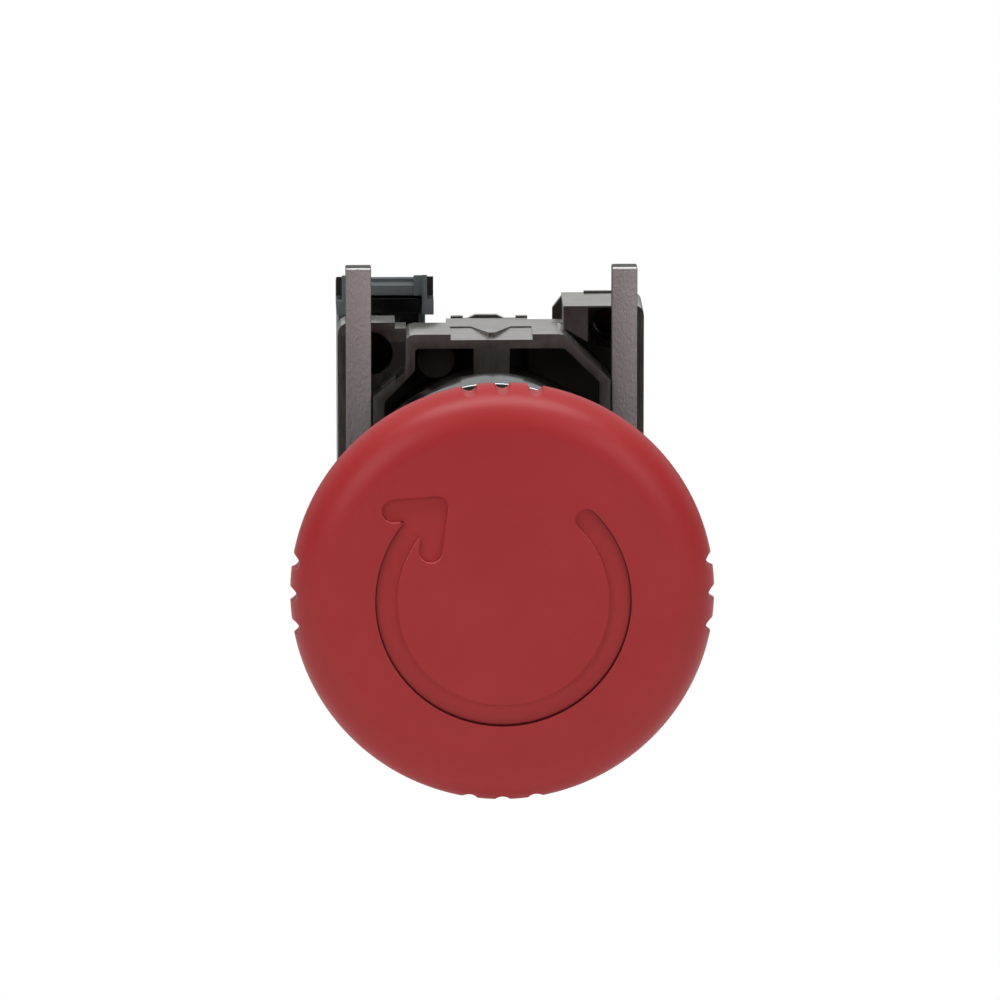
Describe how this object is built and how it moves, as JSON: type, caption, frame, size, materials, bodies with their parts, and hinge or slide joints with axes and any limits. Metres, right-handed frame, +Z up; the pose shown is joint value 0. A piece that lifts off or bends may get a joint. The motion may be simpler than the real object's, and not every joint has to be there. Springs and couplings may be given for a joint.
{
  "type": "emergency stop button",
  "caption": "Panel emergency stop: red mushroom head that latches when pushed and turns to release, chromed bezel, cast fixing collar with clamp bars and a clip-on contact block.",
  "frame": {"origin": "on the button's axis, in the plane of the panel's front face, which is the rear face of the gasket", "axes": "+X to the right seen from the front, +Y to the rear along the axis, +Z up; the mushroom head points to -Y"},
  "size_m": [0.04, 0.082, 0.0457],
  "materials": {
    "red_plastic": "satin moulded",
    "chrome_metal": "polished plating",
    "cast_zinc": "linished die casting",
    "bar_zinc": "fine cast texture",
    "spring_steel": "bright zinc plate",
    "brass_strip": "stamped",
    "contact_silver": "coined tip",
    "black_plastic": "moulded",
    "slate_plastic": "moulded",
    "cream_plastic": "moulded",
    "seal_rubber": "matte"
  },
  "bodies": {
    "fixed_body": {"bezel": "chrome_metal", "panel_gasket": "seal_rubber", "latch_insert": "cream_plastic", "latch_ring_spring": "spring_steel", "stem_seal": "seal_rubber", "spring_seat": "spring_steel", "insert_circlip": "spring_steel", "return_spring": "spring_steel", "fixing_collar": "cast_zinc", "block_housing": "slate_plastic", "block_cover": "slate_plastic", "fixed_contact_top": "brass_strip", "fixed_contact_bottom": "brass_strip", "fixed_tip_top": "contact_silver", "fixed_tip_bottom": "contact_silver", "contact_spring": "spring_steel"},
    "button_slide": {"actuator_plate": "black_plastic"},
    "button_head": {"mushroom_cap": "red_plastic", "spindle": "spring_steel", "cap_clip": "spring_steel", "plate_clip": "spring_steel"},
    "pawl_left": {"latch_pawl_left": "spring_steel"},
    "pawl_right": {"latch_pawl_right": "spring_steel"},
    "lock_lever": {"lock_ring": "spring_steel"},
    "bar_left": {"clamp_bar_left": "bar_zinc"},
    "bar_right": {"clamp_bar_right": "bar_zinc"},
    "screw_left": {"clamp_screw_left": "spring_steel"},
    "screw_right": {"clamp_screw_right": "spring_steel"},
    "release_latch": {"block_latch": "black_plastic"},
    "contact_carrier": {"contact_plunger": "cream_plastic", "contact_bridge": "brass_strip", "moving_tip_top": "contact_silver", "moving_tip_bottom": "contact_silver"},
    "wire_clamp_top": {"terminal_clamp_top": "spring_steel"},
    "wire_clamp_bottom": {"terminal_clamp_bottom": "spring_steel"},
    "wire_screw_top": {"terminal_screw_top": "spring_steel"},
    "wire_screw_bottom": {"terminal_screw_bottom": "spring_steel"}
  },
  "joints": [
    {"name": "button_push", "type": "slide", "parent": "fixed_body", "child": "button_slide", "axis": [0, 1, 0], "range_m": [0, 0.005], "stiffness_N_per_m": 1200, "springref_m": -0.012, "deforming": ["return_spring", "contact_spring"]},
    {"name": "button_twist", "type": "hinge", "parent": "button_slide", "child": "button_head", "pos_m": [0, 0, 0], "axis": [0, 1, 0], "range_deg": [0, 40], "stiffness_Nm_per_rad": 0.08, "springref_deg": -28.65},
    {"name": "pawl_left_slide", "type": "slide", "parent": "fixed_body", "child": "pawl_left", "axis": [1, 0, 0], "range_m": [0, 0.0008]},
    {"name": "pawl_right_slide", "type": "slide", "parent": "fixed_body", "child": "pawl_right", "axis": [-1, 0, 0], "range_m": [0, 0.0008]},
    {"name": "contact_travel", "type": "slide", "parent": "fixed_body", "child": "contact_carrier", "axis": [0, 1, 0], "range_m": [0, 0.0043]},
    {"name": "lock_ring_turn", "type": "hinge", "parent": "fixed_body", "child": "lock_lever", "pos_m": [0, 0.0176, 0], "axis": [0, 1, 0], "range_deg": [0, 18]},
    {"name": "release_latch_slide", "type": "slide", "parent": "fixed_body", "child": "release_latch", "axis": [0, 1, 0], "range_m": [0, 0.002], "stiffness_N_per_m": 500, "springref_m": -0.002},
    {"name": "clamp_bar_left_slide", "type": "slide", "parent": "fixed_body", "child": "bar_left", "axis": [0, -1, 0], "range_m": [0, 0.0055]},
    {"name": "clamp_screw_left_turn", "type": "hinge", "parent": "bar_left", "child": "screw_left", "pos_m": [-0.0118, 0.0186, 0.0145], "axis": [0, -1, 0], "range_deg": [0, 3960]},
    {"name": "clamp_bar_right_slide", "type": "slide", "parent": "fixed_body", "child": "bar_right", "axis": [0, -1, 0], "range_m": [0, 0.0055]},
    {"name": "clamp_screw_right_turn", "type": "hinge", "parent": "bar_right", "child": "screw_right", "pos_m": [0.0118, 0.0186, 0.01665], "axis": [0, -1, 0], "range_deg": [0, 3960]},
    {"name": "wire_clamp_top_slide", "type": "slide", "parent": "fixed_body", "child": "wire_clamp_top", "axis": [0, -1, 0], "range_m": [0, 0.002]},
    {"name": "wire_screw_top_turn", "type": "hinge", "parent": "wire_clamp_top", "child": "wire_screw_top", "pos_m": [-0.0106, 0.04, 0.0108], "axis": [0, -1, 0], "range_deg": [0, 1200]},
    {"name": "wire_clamp_bottom_slide", "type": "slide", "parent": "fixed_body", "child": "wire_clamp_bottom", "axis": [0, -1, 0], "range_m": [0, 0.002]},
    {"name": "wire_screw_bottom_turn", "type": "hinge", "parent": "wire_clamp_bottom", "child": "wire_screw_bottom", "pos_m": [-0.0106, 0.04, -0.0108], "axis": [0, -1, 0], "range_deg": [0, 1200]}
  ],
  "couplings": [
    {"joint": "pawl_left_slide", "follows": "button_push", "ratio": 0.16},
    {"joint": "pawl_right_slide", "follows": "button_push", "ratio": 0.16},
    {"joint": "contact_travel", "follows": "button_push", "ratio": 0.86},
    {"joint": "clamp_screw_left_turn", "follows": "clamp_bar_left_slide", "rad_per_m": 12566},
    {"joint": "clamp_screw_right_turn", "follows": "clamp_bar_right_slide", "rad_per_m": 12566},
    {"joint": "wire_screw_top_turn", "follows": "wire_clamp_top_slide", "rad_per_m": 10472},
    {"joint": "wire_screw_bottom_turn", "follows": "wire_clamp_bottom_slide", "rad_per_m": 10472}
  ]
}
